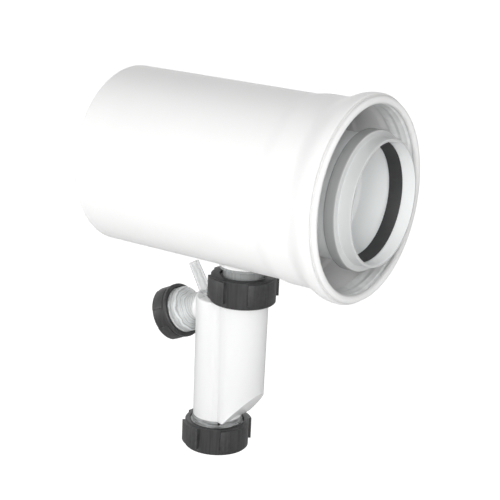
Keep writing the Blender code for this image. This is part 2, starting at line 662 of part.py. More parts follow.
def build_outlet(branch):
    """Outlet nut with its flat seal and slip ring, on the branch."""
    radii = (OUTLET_NUT_R, OUTLET_LUG_R, OUTLET_BORE_R, OUTLET_HOLE_R)
    add_nut("outlet_nut", branch, OUTLET_NUT_HEIGHT, *radii, LUG_FAR, OUTLET_LUG_PHASE)
    seal_low = OUTLET_STUB_END + GAP
    slip_low = seal_low + OUTLET_SEAL_HEIGHT + GAP
    seal = ring(OUTLET_HOLE_R, OUTLET_THREAD_R, seal_low, seal_low + OUTLET_SEAL_HEIGHT, NUT_STEPS)
    slip = ring(OUTLET_HOLE_R + GAP, OUTLET_THREAD_R, slip_low, slip_low + SLIP_RING_HEIGHT, NUT_STEPS)
    add_object("outlet_seal_ring", seal, branch, "black rubber")
    add_object("outlet_slip_ring", slip, branch, "white plastic")


def build():
    clear_scene()
    flue = add_empty("flue")
    build_outer_pipe(flue)
    build_outer_seal(flue)
    build_inner_pipe(flue)
    build_inner_seal(flue)
    build_spacer("front_spacer", SPACER_FRONT_X, flue)
    build_spacer("rear_spacer", SPACER_REAR_X, flue)
    build_spigot(flue)
    trap = add_empty("drain_axis", parent=flue)
    outward = (0, -math.pi / 2 - BRANCH_TILT, 0)
    branch = add_empty("branch_axis", (BRANCH_FACE_X, 0, BRANCH_FACE_Z), outward, trap)
    build_inlet(trap)
    build_trap(trap, branch)
    build_port(trap)
    build_outlet(branch)


build()
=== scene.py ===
"""Looks for the concentric condensate drain: pipes, seals, nuts, clear trap, studio and camera.

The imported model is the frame. Every piece here is modelled in that frame, in metres, with the flue along X
and the trap below it along Z. Sizes in the code are in millimetres and are turned into metres by MM.
"""

import math

import bmesh
import bpy
from bpy.props import FloatProperty, FloatVectorProperty, IntProperty, PointerProperty
from mathutils import Matrix, Vector


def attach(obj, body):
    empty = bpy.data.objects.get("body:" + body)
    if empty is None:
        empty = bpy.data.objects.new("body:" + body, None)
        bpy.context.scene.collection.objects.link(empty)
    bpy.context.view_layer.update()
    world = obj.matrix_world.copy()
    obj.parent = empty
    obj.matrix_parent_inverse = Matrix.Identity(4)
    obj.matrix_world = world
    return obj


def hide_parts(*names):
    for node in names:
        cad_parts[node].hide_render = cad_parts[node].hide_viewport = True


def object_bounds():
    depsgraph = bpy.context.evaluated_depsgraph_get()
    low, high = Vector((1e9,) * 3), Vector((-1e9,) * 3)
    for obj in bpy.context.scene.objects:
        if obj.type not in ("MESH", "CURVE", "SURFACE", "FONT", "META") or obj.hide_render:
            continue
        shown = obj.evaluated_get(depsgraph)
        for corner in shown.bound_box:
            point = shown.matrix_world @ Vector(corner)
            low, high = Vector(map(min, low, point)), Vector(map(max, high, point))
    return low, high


bl_info = {
    "name": "Condensate drain",
    "version": (1, 0, 0),
    "blender": (4, 5, 0),
    "location": "3D View > Sidebar > Drain",
    "description": "Builds the visible pieces of a concentric condensate drain around its CAD frame",
    "category": "Object",
}

MM = 0.001
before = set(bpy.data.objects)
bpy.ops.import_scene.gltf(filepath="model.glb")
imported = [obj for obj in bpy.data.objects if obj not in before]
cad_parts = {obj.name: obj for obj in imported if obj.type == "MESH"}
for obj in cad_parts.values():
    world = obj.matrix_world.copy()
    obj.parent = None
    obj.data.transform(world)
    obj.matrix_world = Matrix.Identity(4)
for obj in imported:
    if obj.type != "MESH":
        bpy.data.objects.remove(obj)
cad_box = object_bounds()


# Places in the frame, in millimetres: ends along the flue's X, then heights below its axis

TAIL = -100.8
MOUTH = 96.0
COLLAR = 106.0
NECK_END = -62.4
TRAP_TOP = -79.5
INLET_NUT_FACE = -88.7
OUTLET_LEG_TOP = -89.3
LEGS_FOOT = -177.2
CAP_FACE = -181.6
PORT_END = -196.9
OUTLET_LEG_X = -18
SLOPE_EDGE = (17.7, 0, -154.3)
BRANCH_FACE = (-50.75, 0, -107)


# Radii, walls and angles that pieces share, in millimetres and radians

SOCKET_BORE = 63.05
NECK_BORE = 16.8
SPIGOT_RADIUS = 14.7
SPIGOT_BORE = 11.8
THREAD_CREST = 19.0
THREAD_ROOT = 18.0
BRANCH_CREST = 16.2
GAP = 0.3
NUT_END_WALL = 2.4
OUTLET_NUT_HEIGHT = 13.5
SLIP_RING, FLAT_SEAL, RING_ROOM = 1.1, 2, 0.9
STUB_END = OUTLET_NUT_HEIGHT - NUT_END_WALL - SLIP_RING - FLAT_SEAL - RING_ROOM
SLOPE_TILT = math.radians(49.5)
BRANCH_TILT = math.radians(25)
VENT_TILT = math.radians(25 - 30.2)


# Faces round small pieces

SMALL_STEPS = 96
VENT_STEPS = 48
NUT_STEPS = 160
LUG_STEPS = 22


# Sizes that a user would change

class DrainFlueSizes(bpy.types.PropertyGroup):
    outer_radius: FloatProperty(
        name="Outer pipe radius", description="Outside of the steel pipe's tail",
        default=62.5 * MM, min=0.01, unit="LENGTH")
    outer_wall: FloatProperty(
        name="Steel thickness", description="Thickness of the outer pipe's sheet",
        default=0.8 * MM, min=0.0001, unit="LENGTH")
    bead_radius: FloatProperty(
        name="Bead radius", description="Crest of the rolled bead at the socket's mouth",
        default=69.5 * MM, min=0.01, unit="LENGTH")
    inner_radius: FloatProperty(
        name="Inner pipe radius", description="Outside of the plastic pipe",
        default=40 * MM, min=0.01, unit="LENGTH")
    round_steps: IntProperty(
        name="Pipe facets", description="Faces round a pipe", default=160, min=24)


class DrainTrapSizes(bpy.types.PropertyGroup):
    leg_radius: FloatProperty(
        name="Leg radius", description="Outside of each of the trap's two legs",
        default=17.7 * MM, min=0.002, unit="LENGTH")
    wall: FloatProperty(
        name="Trap wall", description="Thickness of the clear moulding",
        default=1.8 * MM, min=0.0002, unit="LENGTH")
    pitch: FloatProperty(
        name="Thread pitch", description="Rise of the threads in one turn",
        default=2.309 * MM, min=0.0002, unit="LENGTH")
    round_steps: IntProperty(
        name="Trap facets", description="Faces round a leg", default=96, min=24)


class DrainNutSizes(bpy.types.PropertyGroup):
    radius: FloatProperty(
        name="Nut radius", description="Outside of the two large nuts between their lugs",
        default=22.9 * MM, min=0.002, unit="LENGTH")
    lug_radius: FloatProperty(
        name="Lug radius", description="Outside of the large nuts' lugs",
        default=25 * MM, min=0.002, unit="LENGTH")
    height: FloatProperty(
        name="Nut height", description="Height of the two large nuts",
        default=19.5 * MM, min=0.002, unit="LENGTH")
    edge: FloatProperty(
        name="Edge rounding", description="Radius on the nuts' moulded edges",
        default=0.4 * MM, min=0.00005, unit="LENGTH")


class DrainColours(bpy.types.PropertyGroup):
    steel: FloatVectorProperty(
        name="Coated steel", description="Powder coat of the outer pipe",
        default=(0.93, 0.93, 0.925), subtype="COLOR", size=3, min=0, max=1)
    grey_plastic: FloatVectorProperty(
        name="Grey plastic", description="Plastic of the inner pipe and the drain spigot",
        default=(0.64, 0.65, 0.65), subtype="COLOR", size=3, min=0, max=1)
    clear_plastic: FloatVectorProperty(
        name="Clear plastic", description="Milky plastic of the trap",
        default=(0.97, 0.975, 0.975), subtype="COLOR", size=3, min=0, max=1)
    nut_plastic: FloatVectorProperty(
        name="Nut plastic", description="Black plastic of the nuts and the cap",
        default=(0.026, 0.026, 0.027), subtype="COLOR", size=3, min=0, max=1)
    # Painted shade: a darker copy of the grey plastic for the spigot and its sleeve under the flue.
    shaded_spigot_plastic: FloatVectorProperty(
        name="Spigot plastic", description="Darker plastic of the drain spigot and its sleeve",
        default=(0.31, 0.32, 0.32), subtype="COLOR", size=3, min=0, max=1)
    thin_plastic: FloatVectorProperty(
        name="Thin clear plastic", description="The trap's plastic at its neck, branch and vent",
        default=(0.74, 0.76, 0.76), subtype="COLOR", size=3, min=0, max=1)
    black_rubber: FloatVectorProperty(
        name="Black rubber", description="Rubber of the inner seals",
        default=(0.035, 0.035, 0.036), subtype="COLOR", size=3, min=0, max=1)
    pale_rubber: FloatVectorProperty(
        name="Pale rubber", description="Rubber of the outer seal and the neck's grommet",
        default=(0.80, 0.81, 0.81), subtype="COLOR", size=3, min=0, max=1)
    white_plastic: FloatVectorProperty(
        name="White plastic", description="Plastic of the centring and slip rings",
        default=(0.85, 0.85, 0.84), subtype="COLOR", size=3, min=0, max=1)


class DrainStageSizes(bpy.types.PropertyGroup):
    key: FloatProperty(
        name="Key light", description="Power of the soft light beside the camera",
        default=11.4, min=0, unit="POWER")
    front: FloatProperty(
        name="Front light", description="Power of the soft light on the socket's mouth",
        default=4.0, min=0, unit="POWER")
    side: FloatProperty(
        name="Side light", description="Power of the soft light on the tail's side",
        default=4.6, min=0, unit="POWER")
    rear: FloatProperty(
        name="Rear light", description="Power of the weak light behind the drain",
        default=2.5, min=0, unit="POWER")
    zenith: FloatProperty(
        name="Light from above", description="Strength of the room's light straight overhead",
        default=0.36, min=0)
    horizon: FloatProperty(
        name="Light from the walls", description="Strength of the room's light at eye level",
        default=0.45, min=0)
    floor_drop: FloatProperty(
        name="Floor drop", description="How far the floor lies under the cleaning cap",
        default=90 * MM, min=0, unit="LENGTH")


class DrainSettings(bpy.types.PropertyGroup):
    flue: PointerProperty(type=DrainFlueSizes, name="Flue", description="Sizes of the two pipes")
    trap: PointerProperty(type=DrainTrapSizes, name="Trap", description="Sizes of the clear trap")
    nuts: PointerProperty(type=DrainNutSizes, name="Nuts", description="Sizes of the nuts")
    colours: PointerProperty(type=DrainColours, name="Colours", description="Colours of the finishes")
    stage: PointerProperty(type=DrainStageSizes, name="Stage", description="Lights and floor")


# Shader maths and finishes

class Link:
    """A shader socket that takes part in plain arithmetic; each step adds its Math node."""

    def __init__(self, finish, socket):
        self.finish, self.socket = finish, socket

    def math(self, operation, *parts):
        return self.finish.add("ShaderNodeMath", {"operation": operation}, dict(enumerate(parts)))

    def __add__(self, other):
        return self.math("ADD", self, other)

    def __sub__(self, other):
        return self.math("SUBTRACT", self, other)

    def __rsub__(self, other):
        return self.math("SUBTRACT", other, self)

    def __mul__(self, other):
        return self.math("MULTIPLY", self, other)

    def __pow__(self, other):
        return self.math("POWER", self, other)

    def __abs__(self):
        return self.math("ABSOLUTE", self)

    __radd__ = __add__

    def ramp(self, low, high, to_low=0.0, to_high=1.0):
        """This value carried from one range to another, and held at both ends."""
        parts = {"Value": self, "From Min": low, "From Max": high, "To Min": to_low, "To Max": to_high}
        return self.finish.add("ShaderNodeMapRange", {"interpolation_type": "SMOOTHSTEP"}, parts)


class Finish:
    """A material whose nodes are added one by one and joined by name."""

    def __init__(self, name, colour=None, tree=None, **sockets):
        if tree is None:
            self.material = bpy.data.materials.new(name)
            self.material.use_nodes = True
            tree = self.material.node_tree
            self.surface = tree.nodes["Principled BSDF"]
            self.set(self.surface, {"Base Color": (*colour, 1), **sockets})
            self.material.diffuse_color = (*colour, 1)
        self.tree = tree

    def set(self, node, sockets):
        for key, value in sockets.items():
            target = node.inputs[key]
            if isinstance(value, Link):
                self.tree.links.new(value.socket, target)
            else:
                target.default_value = value

    def add(self, kind, settings=None, sockets=None, output=0):
        node = self.tree.nodes.new(kind)
        for key, value in (settings or {}).items():
            setattr(node, key, value)
        self.set(node, sockets or {})
        return Link(self, node.outputs[output])

    def place(self, stretch=(1, 1, 1)):
        here = self.add("ShaderNodeTexCoord", output="Object")
        if stretch == (1, 1, 1):
            return here
        return self.add("ShaderNodeMapping", None, {"Vector": here, "Scale": stretch})

    def noise(self, size, detail, stretch=(1, 1, 1)):
        """Noise whose features are about size across, in metres."""
        sockets = {"Vector": self.place(stretch), "Scale": 1 / size, "Detail": detail}
        return self.add("ShaderNodeTexNoise", None, sockets, output="Fac")

    def axes(self):
        node = self.add("ShaderNodeSeparateXYZ", None, {"Vector": self.place()}).socket.node
        return [Link(self, socket) for socket in node.outputs]

    def flue_axes(self):
        """How far along the flue, and how far out from its axis."""
        along, across, height = self.axes()
        return along, (across * across + height * height) ** 0.5

    def blend(self, share, first, second):
        """A colour between two colours.

        A Mix node takes its colours at sockets 6 and 7, and gives the mixed one at output 2.
        """
        ends = {6: first, 7: second}
        ends = {at: end if isinstance(end, Link) else (*end, 1) for at, end in ends.items()}
        return self.add("ShaderNodeMix", {"data_type": "RGBA"}, {0: share, **ends}, output=2)

    def bump(self, height, depth, under=None):
        """Bump of the given depth in metres, on top of another bump."""
        sockets = {"Height": height, "Distance": depth, "Strength": 1.0}
        if under is not None:
            sockets["Normal"] = under
        return self.add("ShaderNodeBump", None, sockets)


def tone(colour, factor):
    return tuple(min(1.0, c * factor) for c in colour)


def coated_steel(colours):
    """White powder coat: faint orange peel, slightly uneven gloss, and painted shade darkening the crease
    behind the lip.
    """
    base = tuple(colours.steel)
    coat = Finish("white powder coat", base, **{"Specular IOR Level": 0.25})
    cloud = coat.noise(45 * MM, 3)
    peel = coat.noise(1.6 * MM, 2)
    along, radius = coat.flue_axes()
    # Painted shade: the groove between the bead and the lip is drawn darker.
    between = radius.ramp(67.2 * MM, 67.8 * MM) * radius.ramp(69.1 * MM, 68.5 * MM)
    crease = between * along.ramp(91.9 * MM, 92.3 * MM)
    plain = coat.blend(cloud.ramp(0.35, 0.7), base, tone(base, 0.985))
    coat.set(coat.surface, {
        "Base Color": coat.blend(crease, plain, tone(base, 0.84)),
        "Roughness": 0.42 + cloud * 0.08,
        "Normal": coat.bump(peel, 0.012 * MM),
    })
    return coat.material


def pipe_plastic(colours):
    """Light grey polypropylene with fine lines along it; painted light makes the bore and the pipe behind the
    bead paler, and the bead's side is darker, partly the black seal showing through and partly painted shade.
    """
    base = tuple(colours.grey_plastic)
    skin = Finish("grey polypropylene", base, **{"Specular IOR Level": 0.4})
    lines = skin.noise(1.2 * MM, 2, stretch=(0.03, 1, 1))
    grain = skin.noise(0.5 * MM, 2)
    cloud = skin.noise(30 * MM, 2)
    along, radius = skin.flue_axes()
    # Painted light: the bore and the pipe behind the bead are drawn half as pale again, where they lie in
    # shade.
    bore_painted_light = radius.ramp(40.6 * MM, 40.2 * MM)
    behind_bead_painted_light = along.ramp(88 * MM, 87 * MM) * radius.ramp(40.6 * MM, 41 * MM)
    # Darker on the bead's outer side: partly the black seal showing through the plastic, partly painted
    # shade.
    bead_seal_and_shade = radius.ramp(45.6 * MM, 46.3 * MM) * along.ramp(88.2 * MM, 89.4 * MM)
    bead_seal_and_shade = bead_seal_and_shade * along.ramp(97 * MM, 96.2 * MM)
    plain = skin.blend(cloud.ramp(0.3, 0.75), tone(base, 1.015), tone(base, 0.97))
    # pale carries the plain colour with the painted light of the bore and behind the bead.
    pale = skin.blend(behind_bead_painted_light, skin.blend(bore_painted_light, plain, tone(base, 1.5)), tone(base, 1.5))
    skin.set(skin.surface, {
        "Base Color": skin.blend(bead_seal_and_shade * 0.7, pale, tone(base, 0.3)),
        "Roughness": 0.38 + cloud * 0.1,
        "Normal": skin.bump(grain, 0.006 * MM, skin.bump(lines, 0.02 * MM)),
    })
    return skin.material


def nut_plastic(colours):
    """Black moulded plastic: satin with a fine spark-eroded grain and painted highlights along its edges."""
    base = tuple(colours.nut_plastic)
    skin = Finish("black moulded plastic", base, **{"Specular IOR Level": 0.5})
    edge = skin.add("ShaderNodeNewGeometry", output="Pointiness").ramp(0.51, 0.56)
    cloud = skin.noise(9 * MM, 3)
    streak = skin.noise(1.6 * MM, 3, stretch=(1, 1, 0.04))
    grain = skin.noise(0.45 * MM, 3)
    # Painted highlight: sharp edges drawn paler in patches.
    painted_edge_highlight = edge * skin.noise(3 * MM, 3).ramp(0.3, 0.7)
    streaked = skin.blend(streak.ramp(0.35, 0.65), tone(base, 0.72), tone(base, 1.28))
    skin.set(skin.surface, {
        "Base Color": skin.blend(painted_edge_highlight * 0.7, streaked, tone(base, 2.2)),
        "Roughness": 0.42 + cloud * 0.12,
        "Normal": skin.bump(grain, 0.014 * MM),
    })
    return skin.material


def rubber(name, base, roughness):
    """Sealing rubber: dull, with a dusty bloom and fine moulding marks round it."""
    skin = Finish(name, base, **{"Specular IOR Level": 0.35})
    bloom = skin.noise(6 * MM, 4)
    marks = skin.noise(0.8 * MM, 2, stretch=(1, 0.4, 0.4))
    skin.set(skin.surface, {
        "Base Color": skin.blend(bloom.ramp(0.4, 0.75) * 0.5, base, tone(base, 1.35)),
        "Roughness": roughness + bloom * 0.12,
        "Normal": skin.bump(marks, 0.01 * MM),
    })
    return skin.material


def ring_plastic(colours):
    """Plain white moulding of the hidden rings."""
    base = tuple(colours.white_plastic)
    skin = Finish("white moulded plastic", base, **{"Specular IOR Level": 0.45})
    cloud = skin.noise(12 * MM, 3)
    skin.set(skin.surface, {
        "Base Color": skin.blend(cloud.ramp(0.35, 0.7), base, tone(base, 0.96)),
        "Roughness": 0.4 + cloud * 0.1,
        "Normal": skin.bump(skin.noise(0.6 * MM, 2), 0.008 * MM),
    })
    return skin.material


def shaded_spigot_plastic(colours):
    """Grey plastic drawn darker than the inner pipe's as painted shade under the flue, with a satin gloss and
    fine lines down the tube.
    """
    base = tuple(colours.shaded_spigot_plastic)
    skin = Finish("grey moulded plastic", base, **{"Specular IOR Level": 0.6})
    lines = skin.noise(2.2 * MM, 3, stretch=(1, 1, 0.06))
    skin.set(skin.surface, {
        "Base Color": skin.blend(lines.ramp(0.3, 0.7), tone(base, 0.97), tone(base, 1.03)),
        "Roughness": 0.24 + lines * 0.06,
        "Normal": skin.bump(lines, 0.006 * MM),
    })
    return skin.material


def trap_plastic(colours):
    """Milky plastic: nearly opaque on the legs and clearer on the branch and vent; a greyer copy paints shade
    on the neck, shade and highlights on the branch, and a dark outline on the vent.
    """
    base, thin_base = tuple(colours.clear_plastic), tuple(colours.thin_plastic)
    skin = Finish("milky clear plastic", base, **{
        "Specular IOR Level": 0.4, "IOR": 1.49, "Subsurface Weight": 0.5, "Subsurface Radius": (1, 1, 1),
        "Subsurface Scale": 4 * MM})
    facing = skin.add("ShaderNodeLayerWeight", None, {"Blend": 0.5}, output="Facing")
    flow = skin.noise(14 * MM, 3, stretch=(1, 1, 0.25))
    wave = skin.noise(9 * MM, 3)
    fine = skin.noise(1.1 * MM, 3, stretch=(0.12, 0.12, 1))
    along, _, height = skin.axes()
    out = along * -math.cos(BRANCH_TILT) + height * -math.sin(BRANCH_TILT)
    rings = skin.add("ShaderNodeTexNoise", {"noise_dimensions": "1D"}, {
        "W": out * 1300 + wave * 4, "Scale": 1.0, "Detail": 4.0}, output="Fac")
    neck = height.ramp(LEGS_FOOT * MM, (LEGS_FOOT - 0.8) * MM)
    branch = along.ramp(-35.4 * MM, -37.2 * MM) * height.ramp(-89.0 * MM, -89.6 * MM)
    vent = height.ramp(-89.6 * MM, -89.0 * MM) * along.ramp(-25 * MM, -26 * MM)
    milk = skin.blend(flow.ramp(0.35, 0.7), base, tone(base, 0.985))
    # Painted shade: the neck above the cap is drawn dark grey.
    threaded = skin.blend(fine.ramp(0.3, 0.7), tone(thin_base, 0.24), tone(thin_base, 0.6))
    # Painted shade and highlights: the branch is drawn greyer, with paler and darker rings along it.
    branch_shade_and_highlights = skin.blend(rings.ramp(0.28, 0.7), tone(thin_base, 0.56), tone(thin_base, 1.15))
    legs = skin.blend(neck, milk, threaded)
    mouths = skin.blend(branch, legs, branch_shade_and_highlights)
    edge = facing.ramp(0.25, 0.9)
    skin.set(skin.surface, {
        # Painted dark outline: the vent is drawn grey, which shows at its edges where its alpha rises.
        "Base Color": skin.blend(vent, mouths, tone(thin_base, 0.82)),
        "Roughness": 0.2 + flow * 0.08,
        "Alpha": 0.95 + vent * (edge.ramp(0, 1, 0.25, 0.82) - 0.95) - branch * 0.12,
        "Normal": skin.bump(flow, 0.05 * MM, skin.bump(rings, 0.03 * MM)),
    })
    return skin.material


# Modelling by operators

def only(obj):
    bpy.ops.object.select_all(action="DESELECT")
    obj.select_set(True)
    bpy.context.view_layer.objects.active = obj


def edit(obj):
    only(obj)
    bpy.ops.object.mode_set(mode="EDIT")
    bpy.ops.mesh.select_mode(type="FACE")


def leave_edit():
    bpy.ops.object.mode_set(mode="OBJECT")


def settle(obj, place=None):
    """Moves a piece to its place in the part, where one is given, and keeps its placing in its mesh."""
    only(obj)
    if place is not None:
        obj.matrix_world = place
    bpy.ops.object.transform_apply(location=True, rotation=True, scale=True)


def face_outwards(obj):
    edit(obj)
    bpy.ops.mesh.select_all(action="SELECT")
    bpy.ops.mesh.remove_doubles(threshold=1e-6)
    bpy.ops.mesh.normals_make_consistent(inside=False)
    leave_edit()


def turned(name, outline, steps):
    """A piece drawn out round Z, ring by ring, along an outline of (radius, height) points in millimetres.

    An outline that starts on the axis gives a solid with a face at each end; any other gives a closed ring.
    """
    solid = outline[0][0] == 0
    points = list(outline[1:-1]) if solid else list(outline) + [outline[0]]
    radius, height = (value * MM for value in points[0])
    bpy.ops.object.select_all(action="DESELECT")
    bpy.ops.mesh.primitive_circle_add(vertices=steps, radius=radius, location=(0, 0, height))
    obj = bpy.context.active_object
    obj.name = obj.data.name = name
    settle(obj)
    only(obj)
    bpy.ops.object.mode_set(mode="EDIT")
    bpy.ops.mesh.select_mode(type="EDGE")
    bpy.ops.mesh.select_all(action="SELECT")
    for point in points[1:]:
        new_radius, new_height = (value * MM for value in point)
        bpy.ops.mesh.extrude_region_move(TRANSFORM_OT_translate={"value": (0, 0, new_height - height)})
        grow = new_radius / radius
        if grow != 1:
            bpy.ops.transform.resize(value=(grow, grow, 1), center_override=(0, 0, 0))
        radius, height = new_radius, new_height
    if solid:
        bpy.ops.mesh.edge_face_add()
        bpy.ops.mesh.select_all(action="DESELECT")
        bpy.ops.mesh.select_non_manifold()
        bpy.ops.mesh.edge_face_add()
    leave_edit()
    face_outwards(obj)
    return obj


def combine(obj, operation, tool):
    only(obj)
    modifier = obj.modifiers.new(operation.lower(), "BOOLEAN")
    modifier.operation = operation
    modifier.solver = "EXACT"
    modifier.object = tool
    bpy.ops.object.modifier_apply(modifier=modifier.name)
    bpy.data.objects.remove(tool)


def round_edges(obj, width, segments, angle=40):
    only(obj)
    modifier = obj.modifiers.new("rounding", "BEVEL")
    modifier.limit_method = "ANGLE"
    modifier.angle_limit = math.radians(angle)
    modifier.width = width
    modifier.segments = segments
    modifier.use_clamp_overlap = True
    bpy.ops.object.modifier_apply(modifier=modifier.name)


def dress(obj, material, body, slot, *nodes):
    """Gives a finished piece its shading, finish, body and the CAD nodes that it stands for."""
    only(obj)
    bpy.ops.object.shade_smooth_by_angle(angle=math.radians(32))
    obj.data.materials.clear()
    obj.data.materials.append(material)
    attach(obj, body)
    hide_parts(*nodes)


def dress_node(node, material):
    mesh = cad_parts[node].data
    mesh.materials.clear()
    mesh.materials.append(material)


def arc(r, z, radius, start, end, steps):
    """Points on a circle about (r, z); angles in degrees from outwards towards up."""
    angles = [math.radians(start + (end - start) * i / steps) for i in range(steps + 1)]
    return [(r + radius * math.cos(a), z + radius * math.sin(a)) for a in angles]


def ease(start, end, steps):
    """Points of an S-curve between two (radius, height) points, level at both ends."""
    points = []
    for i in range(steps + 1):
        share = i / steps
        rise = (1 - math.cos(math.pi * share)) / 2
        points.append((start[0] + (end[0] - start[0]) * rise, start[1] + (end[1] - start[1]) * share))
    return points


def round_corners(outline, radius, steps=3):
    """The outline, a closed one, with each sharp corner replaced by a curve of about the given radius."""
    points = []
    for i, corner in enumerate(outline):
        here = Vector(corner)
        before = Vector(outline[i - 1]) - here
        after = Vector(outline[(i + 1) % len(outline)]) - here
        turn = before.angle(after)
        if turn > math.radians(165):
            points.append(tuple(corner))
            continue
        cut = min(radius / math.tan(turn / 2), before.length * 0.45, after.length * 0.45)
        start = here + before.normalized() * cut
        end = here + after.normalized() * cut
        for k in range(steps + 1):
            t = k / steps
            points.append(tuple(start * (1 - t) ** 2 + here * (2 * t * (1 - t)) + end * t ** 2))
    return points


def along_x():
    return Matrix.Rotation(math.pi / 2, 4, "Y")


def spin(degrees):
    return Matrix.Rotation(math.radians(degrees), 4, "Z")


def outlet_leg_place():
    return Matrix.Translation((OUTLET_LEG_X * MM, 0, 0))


def branch_place():
    """Places a piece whose own Z runs out along the outlet branch, from the nut's near face."""
    return Matrix.Translation(Vector(BRANCH_FACE) * MM) @ Matrix.Rotation(-math.pi / 2 - BRANCH_TILT, 4, "Y")


def vent_place():
    """Places a piece whose own Z runs up the vent, from inside the branch."""
    lean = Matrix.Rotation(math.pi / 2 + VENT_TILT, 4, "Y")
    return branch_place() @ Matrix.Translation((0, 0, -25.4 * MM)) @ lean


def block(name, size, centre):
    bpy.ops.object.select_all(action="DESELECT")
    bpy.ops.mesh.primitive_cube_add(size=1, location=[value * MM for value in centre])
    obj = bpy.context.active_object
    obj.name = obj.data.name = name
    obj.scale = [value * MM for value in size]
    settle(obj)
    return obj


def clear_bore(obj, radius, steps):
    """Cuts a pipe's bore out of a piece that grows from the pipe's wall."""
    air = turned("air", [(0, -60), (radius, -60), (radius, 40), (0, 40)], steps)
    settle(air, along_x())
    combine(obj, "DIFFERENCE", air)


def thread(name, root, crest, pitch, low, high):
    """A right-hand screw ridge between two heights, from its root radius to its crest, in millimetres."""
    bpy.ops.object.select_all(action="DESELECT")
    middle, depth, width = (root + crest) / 2, abs(crest - root), 0.72 * pitch
    at = (middle * MM, 0, low * MM)
    bpy.ops.mesh.primitive_plane_add(size=1, location=at, rotation=(math.pi / 2, 0, 0))
    obj = bpy.context.active_object
    obj.name = obj.data.name = name
    obj.scale = (depth * MM, width * MM, 1)
    settle(obj)
    edit(obj)
    bpy.ops.mesh.select_mode(type="VERT")
    bpy.ops.mesh.select_all(action="DESELECT")
    mesh = bmesh.from_edit_mesh(obj.data)
    for vert in mesh.verts:
        vert.select = abs(vert.co.x - crest * MM) < depth * MM / 4
    bmesh.update_edit_mesh(obj.data)
    bpy.ops.transform.resize(value=(1, 1, 0.3), center_override=(crest * MM, 0, low * MM))
    bpy.ops.mesh.select_all(action="SELECT")
    bpy.ops.mesh.delete(type="ONLY_FACE")
    leave_edit()
    modifier = obj.modifiers.new("screw", "SCREW")
    modifier.axis = "Z"
    modifier.angle = 2 * math.pi
    modifier.screw_offset = pitch * MM
    modifier.iterations = max(1, round((high - low) / pitch))
    modifier.steps = modifier.render_steps = SMALL_STEPS
    bpy.ops.object.modifier_apply(modifier=modifier.name)
    edit(obj)
    bpy.ops.mesh.select_all(action="SELECT")
    bpy.ops.mesh.remove_doubles(threshold=1e-7)
    bpy.ops.mesh.fill_holes(sides=4)
    leave_edit()
    face_outwards(obj)
    return obj


# The flue

def model_outer_pipe(sizes):
    """Steel pipe: tail, wider socket, rolled bead, hemmed lip, and the neck drawn down round the drain."""
    outer, wall, bead = (value / MM for value in (sizes.outer_radius, sizes.outer_wall, sizes.bead_radius))
    inside, neck_r = outer - wall, NECK_BORE + wall
    step_x, bead_top = MOUTH - 44, MOUTH - 3.4
    crest_x, foot_x = bead_top - 4, bead_top - 23
    hem_r, hem = SOCKET_BORE + 2.5 - wall / 2, 2.5
    outline = [(outer - 0.25, TAIL), (outer, TAIL + 0.35), (outer, -60), (outer, 0), (outer, step_x - 8.5)]
    outline += ease((outer, step_x - 8), (SOCKET_BORE + wall, step_x + 4), 12)
    outline += ease((SOCKET_BORE + wall, foot_x), (bead, crest_x), 20)
    outline += arc(bead - 2.1, bead_top - 1.8, 2.1, 0, 55, 7)
    outline += [(bead - 1.2, bead_top - 0.05), (bead - 1.6, bead_top)]
    outline += arc(hem_r, MOUTH - hem, hem, -20, 200, 20)
    outline += [(hem_r - 1.6, bead_top - wall / 2), (bead - wall - 0.6, bead_top - wall / 2)]
    outline += [(bead - wall, bead_top - wall / 2 - 0.6), (bead - wall, crest_x)]
    outline += ease((SOCKET_BORE, foot_x), (bead - wall, crest_x), 12)[-2::-1]
    outline += ease((inside, step_x - 4), (SOCKET_BORE, step_x), 6)[::-1]
    outline += [(inside, 0), (inside, -60), (inside, TAIL + 0.35), (inside + 0.25, TAIL)]
    pipe = turned("outer_pipe_shell", outline, sizes.round_steps)
    settle(pipe, along_x())
    top = wall - math.sqrt(inside ** 2 - neck_r ** 2)
    neck = turned("neck", [(0, NECK_END), (neck_r, NECK_END), (neck_r, top), (0, top)], SMALL_STEPS)
    clear_bore(neck, inside, sizes.round_steps)
    combine(pipe, "UNION", neck)
    hole = [(0, -64.5), (NECK_BORE, -64.5), (NECK_BORE, -42), (0, -42)]
    combine(pipe, "DIFFERENCE", turned("bore", hole, SMALL_STEPS))
    return pipe


def model_outer_seal(sizes):
    """Lip seal of the outer socket: a foot in the bead's groove, two ribs and a lip that leans back."""
    bead = sizes.bead_radius / MM
    front = MOUTH - 3.4 - sizes.outer_wall / MM - GAP
    foot = bead - sizes.outer_wall / MM - GAP
    back = front - 4
    outline = [(foot, front), (foot, back), (foot - 1.6, back - 1.4), (64.6, back - 1.4)]
    outline += [(63.6, back - 4.2), (62.6, front - 13), (61.5, front - 13), (61.8, front - 10)]
    outline += [(62.1, front - 8.8), (62.3, front - 7.6), (62.0, front - 6.2), (62.0, front - 5.2)]
    outline += [(62.4, front - 4), (62.6, front - 3), (62.6, front - 1.5), (64.75, front)]
    seal = turned("outer_lip_seal", round_corners(outline, 0.5), sizes.round_steps)
    settle(seal, along_x())
    return seal


